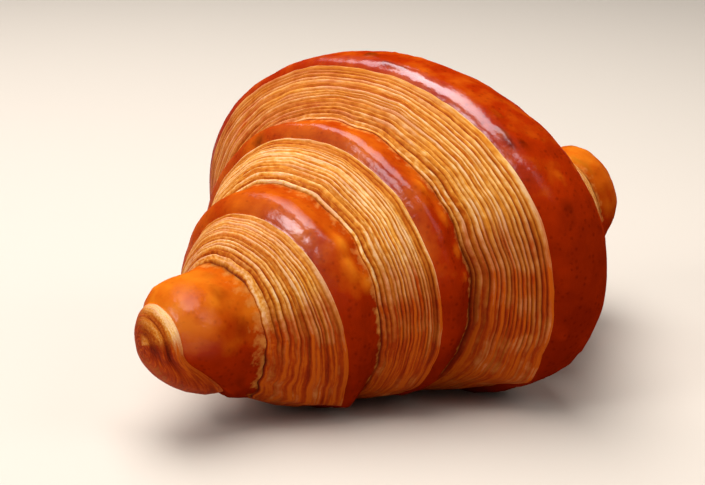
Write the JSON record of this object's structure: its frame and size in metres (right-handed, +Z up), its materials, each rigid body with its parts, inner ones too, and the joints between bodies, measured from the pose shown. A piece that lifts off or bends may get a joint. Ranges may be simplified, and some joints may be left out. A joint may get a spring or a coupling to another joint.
{
  "type": "croissant",
  "caption": "Baked croissant of rolled layered dough, with a wide middle flap, stepped ridged edges and two tapered tips, lying on its flat underside.",
  "frame": {"origin": "on the surface it rests on, under the middle of the croissant's box", "axes": "+X along the roll towards the raised, blunter tip, -Y towards the front, +Z up"},
  "size_m": [0.146, 0.1062, 0.0718],
  "materials": {
    "crust": "satin egg-washed crust"
  },
  "bodies": {
    "root": {"croissant": "crust"}
  },
  "joints": []
}
